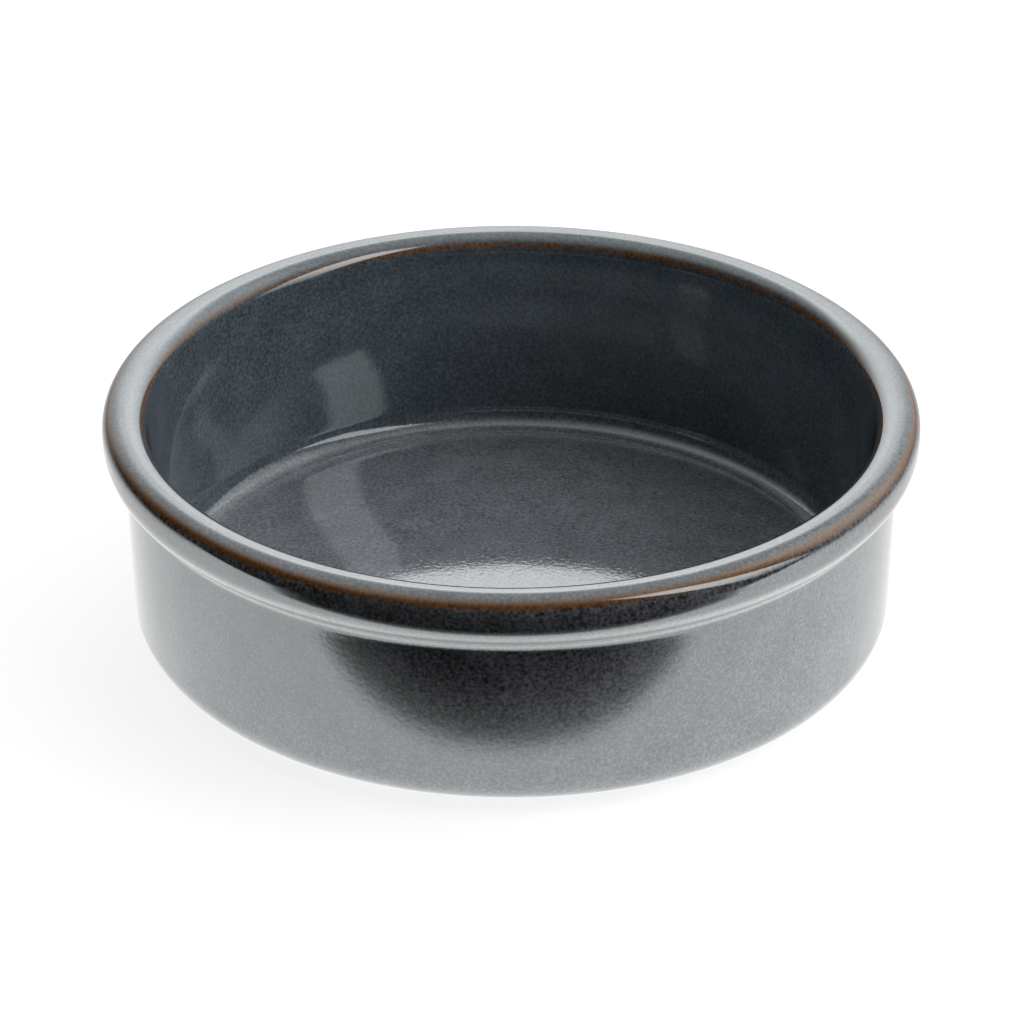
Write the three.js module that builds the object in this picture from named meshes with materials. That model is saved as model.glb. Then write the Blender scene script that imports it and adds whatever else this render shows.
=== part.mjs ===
// Round stoneware tapas dish with a rolled rim, a bare foot ring and a glaze fired over the clay.
// Millimetres, +Z up. The origin is the middle of the plane that the dish stands on.

import * as THREE from "three";

// Driving sizes of the glazed outside
const RIM_DIAMETER = 145; // across the collar, the widest place
const HEIGHT = 44.75; // from the table to the crest of the rim
const COLLAR_HEIGHT = 7.75; // from the crest to where the collar's side and underside would meet
const COLLAR_OVERHANG = 3.8; // how far the collar stands out from the top of the wall
const COLLAR_DROP = 2.65; // how far its underside falls on the way in to the wall
const COLLAR_ROUND = 6; // rounding of the collar's lower edge
const COLLAR_FILLET = 2.9; // hollow where the underside runs into the wall
const WALL_LEAN = 0.7; // how much smaller the wall's radius is at the base than under the collar
const BASE_ROUND = 6; // rounding between the wall and the shoulder under the dish
const SHOULDER_HEIGHT = 1.4; // from the table to the glazed shoulder outside the foot ring

// Driving sizes of the glazed inside
const RIM_THICKNESS = 7.05; // between the sides of the rolled rim, taken up to the level of the crest
const RIM_ROUND = 3.5; // rounding of the rim's inner and outer top edges
const FLARE_DEPTH = 13; // from the crest down to where the inside wall starts to flare out to the rim
const FLARE_SPREAD = 2.05; // how far the flare leans out over that depth
const FLARE_ROUND = 12; // hollow between the inside wall and the flare
const INSIDE_LEAN = 0.3; // how much smaller the inside's radius is at the floor than under the flare
const FLOOR_HEIGHT = 5.6; // from the table to the inside floor at its edge
const FLOOR_FILLET = 4; // hollow between the inside wall and the floor
const FLOOR_CROWN = 2.6; // how much higher the floor is in the middle than at its edge
const CROWN_ROUND = 720; // radius that the floor swells to

// Driving sizes of the foot ring and the recess inside it
const FOOT_INSET = 8.5; // from the base of the wall in to the foot ring
const FOOT_WIDTH = 4.5; // across the bare foot ring
const FOOT_EDGE = 0.6; // rounding of the foot ring's edges and of the corners beside it
const RECESS_DEPTH = 1.5; // from the standing face up to the clay inside the foot ring

// Driving sizes of the glaze
const GLAZE_THICKNESS = 0.45; // coat over the wall, the rim and the inside
const GLAZE_LINE = 1; // bare band of shoulder between the foot ring and the coat's edge
const BASE_GLAZE_THICKNESS = 0.4; // glaze in the recess
const BASE_GLAZE_LINE = 0.4; // bare band between that glaze and the foot ring
const BASE_GLAZE_BEVEL = 0.3; // slope of that glaze's edge

// Fineness of the facets
const TURN_STEPS = 60; // facets round the dish
const CHORD_ERROR = 0.085; // most that a facet of a rounding cuts inside the true arc

// Radii and levels that follow from the driving sizes
const rimRadius = RIM_DIAMETER / 2;
const collarLevel = HEIGHT - COLLAR_HEIGHT;
const wallTopRadius = rimRadius - COLLAR_OVERHANG;
const wallTopLevel = collarLevel - COLLAR_DROP;
const wallBaseRadius = wallTopRadius - WALL_LEAN;
const insideTopRadius = rimRadius - RIM_THICKNESS;
const flareRadius = insideTopRadius - FLARE_SPREAD;
const flareLevel = HEIGHT - FLARE_DEPTH;
const insideFloorRadius = flareRadius - INSIDE_LEAN;
const crownLevel = FLOOR_HEIGHT + FLOOR_CROWN;
const footOuterRadius = wallBaseRadius - FOOT_INSET;
const footInnerRadius = footOuterRadius - FOOT_WIDTH;
const glazeLineRadius = footOuterRadius + FOOT_EDGE + GLAZE_LINE;
const clayShoulderLevel = SHOULDER_HEIGHT + GLAZE_THICKNESS;

// A corner of a half section: its radius, its level and the rounding that it gets
function corner(radius, level, round = 0) {
  return { at: new THREE.Vector2(radius, level), round };
}

function directionBetween(from, to) {
  return to.at.clone().sub(from.at).normalize();
}

// The side of a path that faces the air: sections run with the solid on their left
function airSide(direction) {
  return new THREE.Vector2(direction.y, -direction.x);
}

// How a section turns at a corner, and how far the corner's rounding reaches along its two edges
function bendAt(corners, index) {
  const arriving = directionBetween(corners[index - 1], corners[index]);
  const leaving = directionBetween(corners[index], corners[index + 1]);
  const turn = Math.atan2(arriving.cross(leaving), arriving.dot(leaving));
  return { arriving, turn, reach: corners[index].round * Math.tan(Math.abs(turn) / 2) };
}

// The share of each rounding that its edges have room for
function roomForRoundings(corners, bends) {
  const room = corners.map(() => 1);
  for (let index = 0; index + 1 < corners.length; index += 1) {
    const edge = corners[index].at.distanceTo(corners[index + 1].at);
    const wanted = (bends[index]?.reach ?? 0) + (bends[index + 1]?.reach ?? 0);
    const share = wanted > edge ? edge / wanted : 1;
    room[index] = Math.min(room[index], share);
    room[index + 1] = Math.min(room[index + 1], share);
  }
  return room;
}

// The arc at a corner, as points with their unit normals towards the air
function roundedCorner({ at, round }, { arriving, turn, reach }, share) {
  const start = at.clone().addScaledVector(arriving, -reach * share);
  const startNormal = airSide(arriving);
  const radius = Math.sign(turn) * round * share;
  const centre = start.clone().addScaledVector(startNormal, -radius);
  const widestStep = 2 * Math.acos(1 - CHORD_ERROR / Math.abs(radius));
  const steps = Math.ceil(Math.abs(turn) / widestStep);
  return Array.from({ length: steps + 1 }, (_, step) => {
    const normal = startNormal.clone().rotateAround(new THREE.Vector2(), (turn * step) / steps);
    return { at: centre.clone().addScaledVector(normal, radius), normal };
  });
}

// A half section with its inner corners rounded; its two ends stay sharp
function roundedSection(corners) {
  const last = corners.length - 1;
  const bends = corners.map((_, index) => (index > 0 && index < last ? bendAt(corners, index) : null));
  const room = roomForRoundings(corners, bends);
  return corners.flatMap((here, index) => {
    if (bends[index]) {
      return roundedCorner(here, bends[index], room[index]);
    }
    const edge = Math.max(index, 1);
    return [{ at: here.at, normal: airSide(directionBetween(corners[edge - 1], corners[edge])) }];
  });
}

// Turns a half section, which starts and ends on the axis, into a named solid standing on +Z
function turned(name, section, material) {
  const geometry = new THREE.LatheGeometry(section, TURN_STEPS);
  geometry.rotateX(Math.PI / 2);
  const mesh = new THREE.Mesh(geometry, material);
  mesh.name = name;
  return mesh;
}

// The glazed face from the glaze line beside the foot, up the wall, over the rim and down to the floor
const glazedFace = roundedSection([
  corner(glazeLineRadius, SHOULDER_HEIGHT),
  corner(wallBaseRadius, SHOULDER_HEIGHT, BASE_ROUND),
  corner(wallTopRadius, wallTopLevel, COLLAR_FILLET),
  corner(rimRadius, collarLevel, COLLAR_ROUND),
  corner(rimRadius, HEIGHT, RIM_ROUND),
  corner(insideTopRadius, HEIGHT, RIM_ROUND),
  corner(flareRadius, flareLevel, FLARE_ROUND),
  corner(insideFloorRadius, FLOOR_HEIGHT, FLOOR_FILLET),
  corner(insideFloorRadius / 2, crownLevel, CROWN_ROUND),
  corner(0, crownLevel),
]);
const glazeSkin = glazedFace.map(({ at }) => at);

// The clay under that glaze, one glaze thickness in
const clayUnderGlaze = glazedFace.map(({ at, normal }) => at.clone().addScaledVector(normal, -GLAZE_THICKNESS));

// The clay of the floor, wall, rolled rim and bare foot ring, pressed and fired in one piece
function stonewareBody() {
  const foot = roundedSection([
    corner(0, RECESS_DEPTH),
    corner(footInnerRadius, RECESS_DEPTH, FOOT_EDGE),
    corner(footInnerRadius, 0, FOOT_EDGE),
    corner(footOuterRadius, 0, FOOT_EDGE),
    corner(footOuterRadius, clayShoulderLevel, FOOT_EDGE),
    corner(glazeLineRadius, clayShoulderLevel),
  ]).map(({ at }) => at);
  const section = [...foot.slice(0, -1), ...clayUnderGlaze];
  const material = new THREE.MeshStandardMaterial({ color: 0xb9a58c, roughness: 0.85, metalness: 0 });
  return turned("stoneware_body", section, material);
}

// The glaze dipped over the wall, the rim and the whole inside
function glazeCoat() {
  const section = [...clayUnderGlaze.toReversed(), ...glazeSkin];
  const material = new THREE.MeshStandardMaterial({ color: 0x555d64, roughness: 0.18, metalness: 0 });
  return turned("glaze_coat", section, material);
}

// The disc of glaze in the recess, inside the bare foot ring
function baseGlaze() {
  const radius = footInnerRadius - FOOT_EDGE - BASE_GLAZE_LINE;
  const level = RECESS_DEPTH - BASE_GLAZE_THICKNESS;
  const section = [
    new THREE.Vector2(0, level),
    new THREE.Vector2(radius - BASE_GLAZE_BEVEL, level),
    new THREE.Vector2(radius, RECESS_DEPTH),
    new THREE.Vector2(0, RECESS_DEPTH),
  ];
  const material = new THREE.MeshStandardMaterial({ color: 0x5a6167, roughness: 0.22, metalness: 0 });
  return turned("base_glaze", section, material);
}

const dish = new THREE.Group();
dish.add(stonewareBody(), glazeCoat(), baseGlaze());

export default dish;
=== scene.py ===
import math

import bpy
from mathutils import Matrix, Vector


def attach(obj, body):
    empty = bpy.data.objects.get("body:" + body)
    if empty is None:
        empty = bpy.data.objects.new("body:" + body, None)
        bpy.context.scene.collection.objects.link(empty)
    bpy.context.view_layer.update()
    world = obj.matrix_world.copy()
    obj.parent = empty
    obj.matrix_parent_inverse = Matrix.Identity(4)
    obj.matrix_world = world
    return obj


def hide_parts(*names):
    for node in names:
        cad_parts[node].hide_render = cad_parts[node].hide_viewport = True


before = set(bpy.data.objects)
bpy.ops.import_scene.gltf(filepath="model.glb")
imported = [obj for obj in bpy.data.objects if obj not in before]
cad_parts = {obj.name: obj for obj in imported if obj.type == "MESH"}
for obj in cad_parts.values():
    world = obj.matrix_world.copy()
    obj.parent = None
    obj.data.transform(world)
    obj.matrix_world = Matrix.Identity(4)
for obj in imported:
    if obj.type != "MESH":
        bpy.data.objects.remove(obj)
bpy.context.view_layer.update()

# Looks of a round stoneware tapas dish: fine turned surfaces, a speckled glaze that breaks brown
# on the rim's edges, bare clay on the foot ring, and a plain white studio.

MM = 0.001

# Sizes of the glazed outside, in millimetres, as in the CAD model
RIM_DIAMETER = 145.0
HEIGHT = 44.75
COLLAR_HEIGHT = 7.75
COLLAR_OVERHANG = 3.8
COLLAR_DROP = 2.65
COLLAR_ROUND = 6.0
COLLAR_FILLET = 2.9
WALL_LEAN = 0.7
BASE_ROUND = 6.0
SHOULDER_HEIGHT = 1.4

# Sizes of the glazed inside. Next to the CAD model the rim is a little thicker and rounder inside,
# and the flare below it is longer and softer; the floor is the same.
RIM_THICKNESS = 7.4
RIM_OUTER_ROUND = 3.45
RIM_INNER_ROUND = 3.9
FLARE_DEPTH = 18.0
FLARE_SPREAD = 2.0
FLARE_ROUND = 150.0
FLOOR_HEIGHT = 5.6
FLOOR_FILLET = 4.0
FLOOR_CROWN = 2.6
CROWN_ROUND = 720.0

# Sizes of the foot ring, the recess inside it and the glaze, as in the CAD model but for the
# rounded edge of the glaze in the recess
FOOT_INSET = 8.5
FOOT_WIDTH = 4.5
FOOT_EDGE = 0.6
RECESS_DEPTH = 1.5
GLAZE_THICKNESS = 0.45
GLAZE_LINE = 1.0
BASE_GLAZE_THICKNESS = 0.4
BASE_GLAZE_LINE = 0.4
BASE_GLAZE_BEVEL = 0.3
BASE_GLAZE_ROUND = 0.3

# Fineness of the turned surfaces
TURN_STEPS = 200
ARC_STEP = 0.3
ARC_TURN = math.radians(6)
FEWEST_ARC_STEPS = 3
MOST_ARC_STEPS = 40
EDGE_STEP = 1.6
ON_AXIS = 1e-7  # radius in metres below which a point of a section lies on the axis

# Radii and levels that follow
rim_radius = RIM_DIAMETER / 2
collar_level = HEIGHT - COLLAR_HEIGHT
wall_top_radius = rim_radius - COLLAR_OVERHANG
wall_top_level = collar_level - COLLAR_DROP
wall_base_radius = wall_top_radius - WALL_LEAN
inside_top_radius = rim_radius - RIM_THICKNESS
inside_radius = inside_top_radius - FLARE_SPREAD
flare_level = HEIGHT - FLARE_DEPTH
crown_level = FLOOR_HEIGHT + FLOOR_CROWN
foot_outer_radius = wall_base_radius - FOOT_INSET
foot_inner_radius = foot_outer_radius - FOOT_WIDTH
glaze_line_radius = foot_outer_radius + FOOT_EDGE + GLAZE_LINE
clay_shoulder_level = SHOULDER_HEIGHT + GLAZE_THICKNESS
base_glaze_radius = foot_inner_radius - FOOT_EDGE - BASE_GLAZE_LINE
base_glaze_level = RECESS_DEPTH - BASE_GLAZE_THICKNESS


def air_side(direction):
    """The side of a path that faces the air: sections run with the solid on their left."""
    return Vector((direction.y, -direction.x))


def turned_by(vector, angle):
    cos, sin = math.cos(angle), math.sin(angle)
    return Vector((vector.x * cos - vector.y * sin, vector.x * sin + vector.y * cos))


def rounded_corner(before, here, after, size):
    """The arc at a corner, as points with unit normals towards the air."""
    arriving = (here - before).normalized()
    leaving = (after - here).normalized()
    cross = arriving.x * leaving.y - arriving.y * leaving.x
    turn = math.atan2(cross, arriving.dot(leaving))
    start = here - arriving * size * math.tan(abs(turn) / 2)
    radius = math.copysign(size, turn)
    normal = air_side(arriving)
    centre = start - normal * radius
    steps = math.ceil(abs(turn) / min(ARC_TURN, ARC_STEP / size))
    steps = max(FEWEST_ARC_STEPS, min(steps, MOST_ARC_STEPS))
    spun = [turned_by(normal, turn * step / steps) for step in range(steps + 1)]
    return [(centre + side * radius, side) for side in spun]


def rounded_section(corners):
    """Points of a half section with unit normals.

    Corners are (radius, level, rounding); the two ends stay sharp and have no rounding."""
    places = [Vector(corner[:2]) for corner in corners]
    last = len(places) - 1
    points = []
    for index, here in enumerate(places):
        if 0 < index < last:
            size = corners[index][2]
            points.extend(rounded_corner(places[index - 1], here, places[index + 1], size))
        else:
            edge = max(index, 1)
            along = (places[edge] - places[edge - 1]).normalized()
            points.append((here, air_side(along)))
    return points


def with_short_edges(points):
    """The same section with its long straight runs cut into short ones."""
    out = [points[0]]
    for (at, normal), (next_at, next_normal) in zip(points, points[1:]):
        steps = max(1, math.ceil((next_at - at).length / EDGE_STEP))
        for step in range(1, steps + 1):
            share = step / steps
            out.append((at.lerp(next_at, share), normal.lerp(next_normal, share).normalized()))
    return out


def fine_section(corners):
    return with_short_edges(rounded_section(corners))


def places_of(section):
    return [at for at, _ in section]


def ring_size(at):
    """How many vertices a point of a section turns into."""
    return 1 if at.x * MM < ON_AXIS else TURN_STEPS


def turned(name, section):
    """A closed mesh, in metres, from a half section that starts and ends on the axis."""
    vertices = []
    rows = []
    for at in section:
        radius, level = at.x * MM, at.y * MM
        first = len(vertices)
        if ring_size(at) == 1:
            rows.append([first] * TURN_STEPS)
            vertices.append((0.0, 0.0, level))
            continue
        rows.append(list(range(first, first + TURN_STEPS)))
        for step in range(TURN_STEPS):
            angle = 2 * math.pi * step / TURN_STEPS
            vertices.append((radius * math.cos(angle), radius * math.sin(angle), level))
    faces = []
    for low, high in zip(rows, rows[1:]):
        for step in range(TURN_STEPS):
            after = (step + 1) % TURN_STEPS
            face = list(dict.fromkeys((low[step], low[after], high[after], high[step])))
            if len(face) > 2:
                faces.append(face)
    mesh = bpy.data.meshes.new(name)
    mesh.from_pydata(vertices, [], faces)
    mesh.shade_smooth()
    mesh.validate()
    piece = bpy.data.objects.new(name, mesh)
    bpy.context.collection.objects.link(piece)
    return piece


# The glazed face from the glaze line beside the foot, up the wall, over the rim and down to the
# floor, and the clay under it
glazed_face = fine_section([
    (glaze_line_radius, SHOULDER_HEIGHT),
    (wall_base_radius, SHOULDER_HEIGHT, BASE_ROUND),
    (wall_top_radius, wall_top_level, COLLAR_FILLET),
    (rim_radius, collar_level, COLLAR_ROUND),
    (rim_radius, HEIGHT, RIM_OUTER_ROUND),
    (inside_top_radius, HEIGHT, RIM_INNER_ROUND),
    (inside_radius, flare_level, FLARE_ROUND),
    (inside_radius, FLOOR_HEIGHT, FLOOR_FILLET),
    (inside_radius / 2, crown_level, CROWN_ROUND),
    (0.0, crown_level),
])
glaze_skin = places_of(glazed_face)
clay_under_glaze = [at - normal * GLAZE_THICKNESS for at, normal in glazed_face]
clay_under_glaze[-1].x = 0.0  # exactly on the axis

foot_section = places_of(fine_section([
    (0.0, RECESS_DEPTH),
    (foot_inner_radius, RECESS_DEPTH, FOOT_EDGE),
    (foot_inner_radius, 0.0, FOOT_EDGE),
    (foot_outer_radius, 0.0, FOOT_EDGE),
    (foot_outer_radius, clay_shoulder_level, FOOT_EDGE),
    (glaze_line_radius, clay_shoulder_level),
]))

base_glaze_section = places_of(fine_section([
    (0.0, base_glaze_level),
    (base_glaze_radius - BASE_GLAZE_BEVEL, base_glaze_level, BASE_GLAZE_ROUND),
    (base_glaze_radius, RECESS_DEPTH),
]))

coat_section = clay_under_glaze[::-1] + glaze_skin
glaze_coat = turned("glaze_coat_skin", coat_section)
stoneware = turned("stoneware_clay", foot_section[:-1] + clay_under_glaze)
base_glaze = turned("base_glaze_disc", base_glaze_section + [Vector((0.0, RECESS_DEPTH))])

# Where the glaze runs thin and breaks brown: two lines on the rolled rim's edges, given by how far
# up the surface faces there
BREAK_DEPTH = 5.0
OUTER_BREAK = math.radians(45)
INNER_BREAK = math.radians(33)
INNER_SHARE = 0.35
BREAK_SPREAD = math.radians(12)

# Where the glaze pools: none on the outside, some on the inside wall, most on the floor; the
# ground colour by this weight also holds painted light
WALL_POOL = 0.5
FLOOR_FACING = 0.9  # the floor is where a normal's upward part is larger than this

# Painted reflection: a pale band on what faces down in the hollow under the collar, which stands
# in for the white table mirrored there
HOLLOW_BELOW_CREST = 3.0
HOLLOW_BELOW_WALL_TOP = 4.0
HOLLOW_FACING = 0.22
HOLLOW_SPREAD = 0.25

# How bumpy the glaze is: it lies smooth over the rolled rim and is grainiest on the inside floor
RIM_GRAIN = 0.25
WALL_GRAIN = 1.0
FLOOR_GRAIN = 1.2


def break_weight(at, normal):
    if at.y < HEIGHT - BREAK_DEPTH:
        return 0.0
    line, most = (OUTER_BREAK, 1.0) if normal.x > 0 else (INNER_BREAK, INNER_SHARE)
    rise = math.atan2(normal.y, abs(normal.x))
    return most * math.exp(-((rise - line) / BREAK_SPREAD) ** 2)


def pool_weight(at, normal):
    if at.y > HEIGHT - RIM_OUTER_ROUND:
        return WALL_POOL * (1 - normal.x) / 2
    if normal.x > 0 and normal.y < FLOOR_FACING:
        return 0.0
    return WALL_POOL + (1 - WALL_POOL) * max(normal.y, 0.0) ** 2


def painted_reflection_weight(at, normal):
    if not wall_top_level - HOLLOW_BELOW_WALL_TOP <= at.y <= HEIGHT - HOLLOW_BELOW_CREST:
        return 0.0
    share = min(1.0, max(0.0, (-normal.y - HOLLOW_FACING) / HOLLOW_SPREAD))
    return share * share * (3 - 2 * share)


def grain_weight(at, normal):
    if at.y > collar_level:
        return RIM_GRAIN
    return FLOOR_GRAIN if normal.y > FLOOR_FACING else WALL_GRAIN


# A weight for each point of the glazed face, and none for the hidden side of the glaze
for layer_name, weight in (
    ("glaze_break", break_weight),
    ("glaze_pool", pool_weight),
    ("painted_reflection_under_collar", painted_reflection_weight),
    ("glaze_grain", grain_weight),
):
    weights = [0.0] * len(clay_under_glaze) + [weight(*point) for point in glazed_face]
    values = []
    for at, value in zip(coat_section, weights):
        values.extend([value] * ring_size(at))
    layer = glaze_coat.data.attributes.new(layer_name, "FLOAT", "POINT")
    layer.data.foreach_set("value", values)

# Sockets of the colour Mix node, whose names repeat for its other types of value
MIX_SHARE, MIX_FIRST, MIX_SECOND, MIX_RESULT = 0, 6, 7, 2

WHITE = (1.0, 1.0, 1.0, 1.0)


class Nodes:
    """A small hand for building the nodes of a material or of the world."""

    def __init__(self, owner, coordinates="Object"):
        owner.use_nodes = True
        self.tree = owner.node_tree
        self.place = self.add("ShaderNodeTexCoord").outputs[coordinates]

    def add(self, kind, **settings):
        made = self.tree.nodes.new(kind)
        for key, value in settings.items():
            setattr(made, key, value)
        return made

    def feed(self, node, socket, value):
        """Sets an input of a node, or links another node's output to it."""
        if isinstance(value, bpy.types.NodeSocket):
            self.tree.links.new(value, node.inputs[socket])
        else:
            node.inputs[socket].default_value = value

    def feed_all(self, node, inputs):
        for socket, value in inputs.items():
            self.feed(node, socket, value)

    def attribute(self, name):
        return self.add("ShaderNodeAttribute", attribute_name=name).outputs["Fac"]

    def axes(self):
        made = self.add("ShaderNodeSeparateXYZ")
        self.feed(made, 0, self.place)
        return [made.outputs[name] for name in "XYZ"]

    def noise(self, size_mm, detail, roughness=0.5):
        made = self.add("ShaderNodeTexNoise")
        scale = 1.0 / (size_mm * MM)
        inputs = {"Vector": self.place, "Scale": scale, "Detail": detail, "Roughness": roughness}
        self.feed_all(made, inputs)
        return made.outputs["Fac"]

    def ramp(self, value, stops):
        made = self.add("ShaderNodeValToRGB")
        elements = made.color_ramp.elements
        while len(elements) < len(stops):
            elements.new(0.5)
        for element, (position, colour) in zip(elements, stops):
            element.position = position
            element.color = (*colour, 1.0)
        self.feed(made, "Fac", value)
        return made.outputs["Color"]

    def grey_ramp(self, value, stops):
        return self.ramp(value, [(position, (level,) * 3) for position, level in stops])

    def mix(self, share, first, second, blend="MIX"):
        made = self.add("ShaderNodeMix", data_type="RGBA", blend_type=blend)
        self.feed_all(made, {MIX_SHARE: share, MIX_FIRST: first, MIX_SECOND: second})
        return made.outputs[MIX_RESULT]

    def map_range(self, value, low, high, to_low=0.0, to_high=1.0, smooth=False):
        kind = "SMOOTHSTEP" if smooth else "LINEAR"
        made = self.add("ShaderNodeMapRange", interpolation_type=kind)
        limits = {"From Min": low, "From Max": high, "To Min": to_low, "To Max": to_high}
        self.feed_all(made, {"Value": value, **limits})
        return made.outputs["Result"]

    def math(self, operation, *values):
        made = self.add("ShaderNodeMath", operation=operation)
        self.feed_all(made, dict(enumerate(values)))
        return made.outputs[0]

    def bump(self, height, depth_mm):
        made = self.add("ShaderNodeBump")
        self.feed_all(made, {"Distance": depth_mm * MM, "Height": height})
        return made.outputs["Normal"]

    def shader(self, kind, **inputs):
        made = self.add(kind)
        self.feed_all(made, inputs)
        return made.outputs[0]

    def joined(self, kind, *values):
        """A shader that adds or mixes others."""
        made = self.add(kind)
        self.feed_all(made, dict(enumerate(values)))
        return made.outputs[0]

    def show(self, shader, output="Material Output"):
        self.feed(self.tree.nodes[output], "Surface", shader)


NOISE_SPAN = (0.3, 0.7)  # where most values of a noise lie

# The glaze's pattern, with sizes and depth in millimetres: fine speckles, clouds that shift their
# tone, a wander that shifts the edge of the brown, and ripples
SPECKLE_SIZE = 0.62
SPECKLE_DETAIL = 2.0
SPECKLE_ROUGHNESS = 0.6
CLOUD_SIZE = 7.0
CLOUD_DETAIL = 3.0
CLOUD_SHIFT = 0.06
WANDER_SIZE = 2.2
WANDER_DETAIL = 3.0
WANDER_SPAN = (0.25, 0.75)
WANDER_SHIFT = 0.14
BREAK_EDGE = (0.12, 0.42)
RIPPLE_SIZE = 0.8
RIPPLE_DETAIL = 1.0
RIPPLE_DEPTH = 0.018

# Its colours: the ground by how much it pools, partly real pooling and partly painted light, with
# painted shade on the inside wall and the floor painted lighter; the others by the speckles' tone
GLAZE_GROUND_WITH_PAINTED_LIGHT = [
    (0.0, (0.262, 0.270, 0.300)),
    (WALL_POOL, (0.178, 0.223, 0.260)),
    (1.0, (0.366, 0.384, 0.428)),
]
STRONG_MOTTLE = [(0.30, 0.08), (0.50, 0.48), (0.68, 0.88)]
FAINT_MOTTLE = [(0.28, 0.27), (0.50, 0.5), (0.72, 0.8)]
PAINTED_REFLECTION_TONES = [(0.28, (0.52, 0.525, 0.525)), (0.72, (0.80, 0.81, 0.81))]
BROWN_TONES = [(0.3, (0.115, 0.046, 0.011)), (0.7, (0.29, 0.132, 0.043))]

# Its gloss by how much it pools, weaker on the inside wall, and its smoothness
GLAZE_SHINE = [
    (0.45, (0.91, 0.985, 1.0)),
    (WALL_POOL, (0.36, 0.39, 0.40)),
    (0.75, (0.55, 0.59, 0.60)),
    (1.0, (0.91, 0.985, 1.0)),
]
GLAZE_ROUGHNESS = (0.10, 0.05)
GLAZE_IOR = 2.5
COAT_ROUGHNESS = 0.05
COAT_IOR = 1.5

# The bare clay
CLAY_GRAIN_SIZE = 0.35
CLAY_GRAIN_ROUGHNESS = 0.65
CLAY_GRAIN_DEPTH = 0.03
CLAY_STAIN_SIZE = 6.0
CLAY_STAIN_SHIFT = 0.1
CLAY_DETAIL = 3.0
CLAY_TONES = [
    (0.28, (0.26, 0.19, 0.125)),
    (0.50, (0.47, 0.37, 0.265)),
    (0.74, (0.60, 0.50, 0.38)),
]
CLAY_ROUGHNESS = (0.92, 0.78)


def glaze_material(name):
    material = bpy.data.materials.new(name)
    nodes = Nodes(material)
    speckle = nodes.noise(SPECKLE_SIZE, SPECKLE_DETAIL, SPECKLE_ROUGHNESS)
    cloud = nodes.noise(CLOUD_SIZE, CLOUD_DETAIL)
    shift = nodes.map_range(cloud, *NOISE_SPAN, -CLOUD_SHIFT, CLOUD_SHIFT)
    tone = nodes.math("ADD", speckle, shift)
    pool = nodes.attribute("glaze_pool")
    strong = nodes.grey_ramp(tone, STRONG_MOTTLE)
    faint = nodes.grey_ramp(tone, FAINT_MOTTLE)
    mottle = nodes.mix(nodes.map_range(pool, 0.0, WALL_POOL), strong, faint)
    # The ground colour is partly painted light: painted shade darkens the inside wall and the
    # floor is painted lighter
    colour = nodes.mix(1.0, nodes.ramp(pool, GLAZE_GROUND_WITH_PAINTED_LIGHT), mottle, "MULTIPLY")
    # Painted reflection: a pale tone under the collar where the white table would be mirrored
    painted_reflection = nodes.ramp(tone, PAINTED_REFLECTION_TONES)
    colour = nodes.mix(nodes.attribute("painted_reflection_under_collar"), colour, painted_reflection)
    wander = nodes.noise(WANDER_SIZE, WANDER_DETAIL)
    shift = nodes.map_range(wander, *WANDER_SPAN, -WANDER_SHIFT, WANDER_SHIFT)
    thin = nodes.math("ADD", nodes.attribute("glaze_break"), shift)
    thin = nodes.map_range(thin, *BREAK_EDGE)
    colour = nodes.mix(thin, colour, nodes.ramp(speckle, BROWN_TONES))
    ripple = nodes.noise(RIPPLE_SIZE, RIPPLE_DETAIL)
    ripple = nodes.math("MULTIPLY", ripple, nodes.attribute("glaze_grain"))
    nodes.feed_all(nodes.tree.nodes["Principled BSDF"], {
        "Base Color": colour,
        "Roughness": nodes.map_range(speckle, *NOISE_SPAN, *GLAZE_ROUGHNESS),
        "IOR": GLAZE_IOR,
        "Specular Tint": nodes.ramp(pool, GLAZE_SHINE),
        "Coat Weight": 1.0,
        "Coat Roughness": COAT_ROUGHNESS,
        "Coat IOR": COAT_IOR,
        "Normal": nodes.bump(ripple, RIPPLE_DEPTH),
    })
    return material


def clay_material(name):
    material = bpy.data.materials.new(name)
    nodes = Nodes(material)
    grain = nodes.noise(CLAY_GRAIN_SIZE, CLAY_DETAIL, CLAY_GRAIN_ROUGHNESS)
    stain = nodes.noise(CLAY_STAIN_SIZE, CLAY_DETAIL)
    shift = nodes.map_range(stain, *NOISE_SPAN, -CLAY_STAIN_SHIFT, CLAY_STAIN_SHIFT)
    nodes.feed_all(nodes.tree.nodes["Principled BSDF"], {
        "Base Color": nodes.ramp(nodes.math("ADD", grain, shift), CLAY_TONES),
        "Roughness": nodes.map_range(grain, *NOISE_SPAN, *CLAY_ROUGHNESS),
        "Normal": nodes.bump(grain, CLAY_GRAIN_DEPTH),
    })
    return material


for piece, node, slot, material in (
    (glaze_coat, "glaze_coat", "reactive_glaze", glaze_material("reactive_glaze")),
    (stoneware, "stoneware_body", "stoneware", clay_material("stoneware")),
    (base_glaze, "base_glaze", "base_glaze", glaze_material("base_glaze")),
):
    piece.data.materials.append(material)
    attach(piece, "root")
    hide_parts(node)

# Camera at the photograph's angle
CAMERA_RISE = math.radians(29.25)
CAMERA_DISTANCE = 803.0 * MM
CAMERA_AIM = Vector((0.0, 0.0, 21.2 * MM))
SENSOR_WIDTH = 36.0
FOCAL_PIXELS = 4464.0
IMAGE_PIXELS = 1024.0
AIM_PIXEL_X = 511.2

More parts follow.
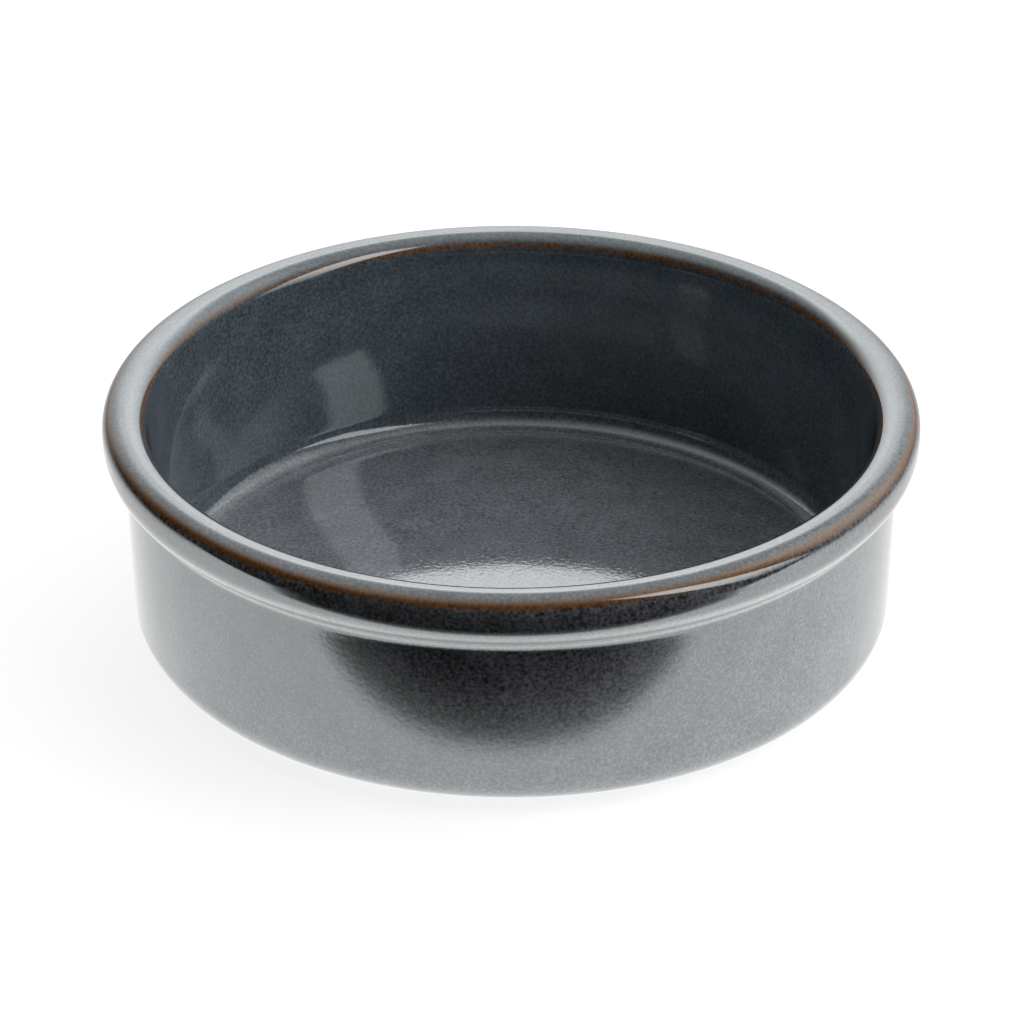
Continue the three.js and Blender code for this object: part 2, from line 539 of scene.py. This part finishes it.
camera_data = bpy.data.cameras.new("camera")
camera_data.sensor_width = SENSOR_WIDTH
camera_data.lens = FOCAL_PIXELS / IMAGE_PIXELS * SENSOR_WIDTH
camera_data.shift_x = (IMAGE_PIXELS / 2 - AIM_PIXEL_X) / IMAGE_PIXELS
camera = bpy.data.objects.new("camera", camera_data)
bpy.context.collection.objects.link(camera)
camera_from = Vector((0, -math.cos(CAMERA_RISE), math.sin(CAMERA_RISE)))
camera.location = CAMERA_AIM + CAMERA_DISTANCE * camera_from
camera.rotation_euler = (math.pi / 2 - CAMERA_RISE, 0, 0)
bpy.context.scene.camera = camera

# The studio's floor. The camera sees it white but for the dish's shadow. The stage is in metres.
STAGE_REACH = 2.0
STUDIO_FLOOR_GREY = (0.45, 0.45, 0.45, 1.0)
STUDIO_FLOOR_GLOW = 0.78

# The white table as the glaze mirrors it: bright beside the dish, dimmer behind it and out to the
# sides, and ending just in front of the dish, where the dark of the room begins
TABLE_GLOW = 1.2
TABLE_LEVEL = -0.0001
TABLE_TURN = math.radians(-1.5)
TABLE_ALONG = (-0.12, 0.28)
TABLE_ALONG_STOPS = [
    (0.03, 0.01), (0.045, 0.05), (0.063, 0.16), (0.072, 0.34), (0.081, 0.8), (0.089, 1.0),
    (0.15, 1.0), (0.3, 0.82), (0.45, 0.72), (0.58, 0.5), (0.72, 0.42), (1.0, 0.42),
]
TABLE_ACROSS = (0.15, 0.5)
TABLE_ACROSS_STOPS = [(0.0, 1.0), (0.2, 0.95), (0.45, 0.7), (0.75, 0.42), (1.0, 0.38)]

# A soft panel behind the dish, which the rim and the floor mirror
PANEL_GLOW = 1.43
PANEL_DISTANCE = 0.22
PANEL_HALF_WIDTH = 0.32
PANEL_HEIGHT = 0.42
PANEL_ACROSS_STOPS = [
    (0.0, 1.0), (0.19, 0.9), (0.37, 0.47), (0.53, 0.17), (0.72, 0.04), (0.95, 0.0),
]
PANEL_UP_STOPS = [
    (0.0, 0.0), (0.1, 0.19), (0.2, 0.46), (0.29, 0.69), (0.34, 0.77), (0.44, 0.79), (0.5, 1.0),
    (0.56, 1.0), (0.64, 0.5), (0.75, 0.15), (0.95, 0.0),
]


def floor_material():
    """White that keeps the dish's shadow; from below it is clear, so that the foot can be seen."""
    material = bpy.data.materials.new("studio_floor")
    nodes = Nodes(material)
    plain = nodes.shader("ShaderNodeBsdfDiffuse", Color=STUDIO_FLOOR_GREY)
    white = nodes.shader("ShaderNodeEmission", Color=WHITE, Strength=STUDIO_FLOOR_GLOW)
    both = nodes.joined("ShaderNodeAddShader", plain, white)
    to_camera = nodes.add("ShaderNodeLightPath").outputs["Is Camera Ray"]
    shown = nodes.joined("ShaderNodeMixShader", to_camera, plain, both)
    from_below = nodes.add("ShaderNodeNewGeometry").outputs["Backfacing"]
    clear = nodes.shader("ShaderNodeBsdfTransparent")
    nodes.show(nodes.joined("ShaderNodeMixShader", from_below, shown, clear))
    return material


def table_material():
    material = bpy.data.materials.new("mirrored_table")
    nodes = Nodes(material)
    x, y, _ = nodes.axes()
    along = nodes.grey_ramp(nodes.map_range(y, *TABLE_ALONG), TABLE_ALONG_STOPS)
    sideways = nodes.map_range(nodes.math("ABSOLUTE", x), *TABLE_ACROSS)
    across = nodes.grey_ramp(sideways, TABLE_ACROSS_STOPS)
    glow = nodes.mix(1.0, along, across, "MULTIPLY")
    nodes.show(nodes.shader("ShaderNodeEmission", Color=glow, Strength=TABLE_GLOW))
    return material


def panel_material():
    """Adds its glow to what is behind it, so that its edges don't show."""
    material = bpy.data.materials.new("soft_panel")
    nodes = Nodes(material)
    x, _, z = nodes.axes()
    sideways = nodes.map_range(nodes.math("ABSOLUTE", x), 0.0, PANEL_HALF_WIDTH)
    across = nodes.grey_ramp(sideways, PANEL_ACROSS_STOPS)
    up = nodes.grey_ramp(nodes.map_range(z, 0.0, PANEL_HEIGHT), PANEL_UP_STOPS)
    glow = nodes.mix(1.0, across, up, "MULTIPLY")
    glow = nodes.shader("ShaderNodeEmission", Color=glow, Strength=PANEL_GLOW)
    clear = nodes.shader("ShaderNodeBsdfTransparent")
    nodes.show(nodes.joined("ShaderNodeAddShader", glow, clear))
    return material


def sheet(name, corners, material):
    mesh = bpy.data.meshes.new(name)
    mesh.from_pydata(corners, [], [(0, 1, 2, 3)])
    mesh.materials.append(material)
    made = bpy.data.objects.new(name, mesh)
    bpy.context.collection.objects.link(made)
    return made


def level_corners(level):
    ends = ((-1, -1), (1, -1), (1, 1), (-1, 1))
    return [(x * STAGE_REACH, y * STAGE_REACH, level) for x, y in ends]


floor = sheet("floor", level_corners(0.0), floor_material())
floor.visible_glossy = False
floor.visible_diffuse = False
table = sheet("mirrored_table", level_corners(TABLE_LEVEL), table_material())
table.rotation_euler.z = TABLE_TURN
panel = sheet("soft_panel", [
    (-PANEL_HALF_WIDTH, PANEL_DISTANCE, 0.0),
    (PANEL_HALF_WIDTH, PANEL_DISTANCE, 0.0),
    (PANEL_HALF_WIDTH, PANEL_DISTANCE, PANEL_HEIGHT),
    (-PANEL_HALF_WIDTH, PANEL_DISTANCE, PANEL_HEIGHT),
], panel_material())
for mirrored in (table, panel):
    mirrored.visible_camera = False
    mirrored.visible_shadow = False

# Soft studio light by direction. The dome brightens up and to the back and is darker on the left.
# Angles are in degrees: a turn goes from the back to the right, a rise from level to overhead, and
# a band's four edges are where it starts, is full, is still full and ends.
DOME_SPAN = (-0.1, 1.4)
DOME_STOPS = [
    (0.0, 0.0), (0.07, 0.02), (0.2, 0.05), (0.3, 0.16), (0.4, 0.25), (0.53, 0.40), (0.7, 0.56),
    (0.83, 0.61), (0.97, 0.68),
]
DARK_LEFT = (-0.9, -0.4)
DARK_LEFT_DROP = -0.6
RIGHT_SLANT = 0.55
RIGHT_SLANT_EDGES = (92, 95.5, 113.5, 116)
RIGHT_RISE_EDGES = (-12, 26, 46, 62)
RIGHT_GLOW = 2.2
SIDE_TURN_EDGES = (25, 65, 84, 104)
SIDE_RISE_EDGES = (-5, 26, 46, 66)
SIDE_GLOW = 0.42
WORLD_GREY = (0.8, 0.8, 0.8, 1.0)  # what all of these levels are multiplied by


def studio_world():
    """A dome, a bright panel on the right and a dim one beside it; the camera sees plain white."""
    world = bpy.data.worlds.new("studio")
    nodes = Nodes(world, "Generated")
    x, y, z = nodes.axes()
    turn = nodes.math("ARCTAN2", x, y)
    rise = nodes.math("ARCSINE", z)

    def band(angle, edges):
        start, full, full_end, end = (math.radians(degrees) for degrees in edges)
        rising = nodes.map_range(angle, start, full, smooth=True)
        falling = nodes.map_range(angle, full_end, end, 1.0, 0.0, smooth=True)
        return nodes.math("MULTIPLY", rising, falling)

    left = nodes.map_range(x, *DARK_LEFT, DARK_LEFT_DROP, 0.0, smooth=True)
    lean = nodes.math("ADD", nodes.math("ADD", z, y), left)
    dome = nodes.grey_ramp(nodes.map_range(lean, *DOME_SPAN), DOME_STOPS)
    slant = nodes.math("SUBTRACT", turn, nodes.math("MULTIPLY", rise, RIGHT_SLANT))
    right = nodes.math("MULTIPLY", band(slant, RIGHT_SLANT_EDGES), band(rise, RIGHT_RISE_EDGES))
    right = nodes.math("MULTIPLY", right, RIGHT_GLOW)
    side = nodes.math("MULTIPLY", band(turn, SIDE_TURN_EDGES), band(rise, SIDE_RISE_EDGES))
    side = nodes.math("MULTIPLY", side, SIDE_GLOW)
    level = nodes.math("ADD", dome, nodes.math("ADD", right, side))
    light = nodes.shader("ShaderNodeBackground", Color=WORLD_GREY, Strength=level)
    white = nodes.shader("ShaderNodeBackground", Color=WHITE)
    to_camera = nodes.add("ShaderNodeLightPath").outputs["Is Camera Ray"]
    nodes.show(nodes.joined("ShaderNodeMixShader", to_camera, light, white), "World Output")
    return world


bpy.context.scene.world = studio_world()


def soft_lamp(name, turn, rise, level, angle):
    """A lamp far away, which the glaze doesn't mirror: it mirrors the world's panels and dome.

    The turn, the rise and the angle that the lamp spans are in degrees, and its level is the
    brightness that it gives to a white surface facing it."""
    data = bpy.data.lights.new(name, "SUN")
    data.energy = level * math.pi
    data.angle = math.radians(angle)
    lamp = bpy.data.objects.new(name, data)
    lamp.visible_glossy = False
    turn, rise = math.radians(turn), math.radians(rise)
    outward = math.cos(rise)
    shines_from = Vector((math.sin(turn) * outward, math.cos(turn) * outward, math.sin(rise)))
    lamp.rotation_euler = shines_from.to_track_quat("Z", "Y").to_euler()
    bpy.context.collection.objects.link(lamp)


# A key lamp on the right, and a weaker one overhead, which the inside floor needs
soft_lamp("key", turn=92, rise=36, level=0.36, angle=34)
soft_lamp("fill", turn=0, rise=90, level=0.13, angle=70)

bpy.context.scene.view_settings.view_transform = "Standard"
